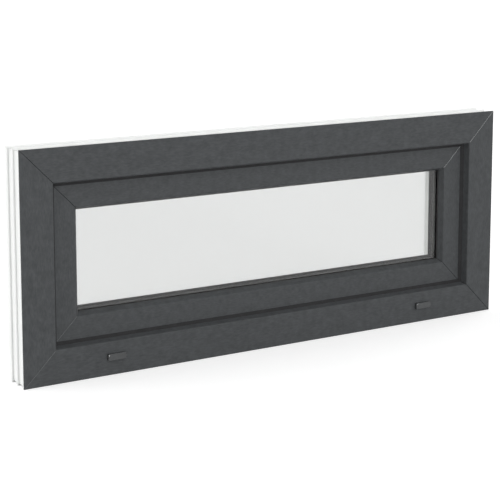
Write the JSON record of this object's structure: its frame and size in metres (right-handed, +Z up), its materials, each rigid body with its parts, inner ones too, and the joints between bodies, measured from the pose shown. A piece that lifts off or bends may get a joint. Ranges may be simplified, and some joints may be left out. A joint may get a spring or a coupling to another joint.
{
  "type": "basement window",
  "caption": "Bottom-hung basement window, white PVC with an anthracite outside, mitred frame and recessed sash, double glazing, drain caps, room-side handle and hinges.",
  "frame": {"origin": "Middle of the frame's underside, on the centre rib of the bottom rail.", "axes": "+X to the right as seen from outside, -Y to the outside, +Z up."},
  "size_m": [1, 0.126, 0.4],
  "materials": {
    "white_pvc": "smooth semi-gloss",
    "anthracite_foil": "matt, fine grain with soft mottling",
    "black_rubber": "matt",
    "clear_glass": "clear",
    "spacer_grey": "satin dark grey warm-edge bar",
    "anthracite_plastic": "fine satin",
    "white_lacquer": "smooth lacquer",
    "pin_steel": "plain"
  },
  "bodies": {
    "root": {"frame_top": "white_pvc", "frame_bottom": "white_pvc", "frame_left": "white_pvc", "frame_right": "white_pvc", "frame_foil_top": "anthracite_foil", "frame_foil_bottom": "anthracite_foil", "frame_foil_left": "anthracite_foil", "frame_foil_right": "anthracite_foil", "sash_top": "white_pvc", "sash_bottom": "white_pvc", "sash_left": "white_pvc", "sash_right": "white_pvc", "sash_foil_top": "anthracite_foil", "sash_foil_bottom": "anthracite_foil", "sash_foil_left": "anthracite_foil", "sash_foil_right": "anthracite_foil", "glazing_bead_top": "white_pvc", "glazing_bead_bottom": "white_pvc", "glazing_bead_left": "white_pvc", "glazing_bead_right": "white_pvc", "frame_seal": "black_rubber", "flange_seal": "black_rubber", "outer_glazing_seal": "black_rubber", "inner_glazing_seal": "black_rubber", "outer_pane": "clear_glass", "inner_pane": "clear_glass", "spacer_bar": "spacer_grey", "drain_cap_left": "anthracite_plastic", "drain_cap_right": "anthracite_plastic", "handle_base": "white_lacquer", "handle_lever": "white_lacquer", "hinge_frame_leaf_left": "white_lacquer", "hinge_frame_leaf_right": "white_lacquer", "hinge_sash_leaf_left": "white_lacquer", "hinge_sash_leaf_right": "white_lacquer", "hinge_pin_left": "pin_steel", "hinge_pin_right": "pin_steel"}
  },
  "joints": []
}
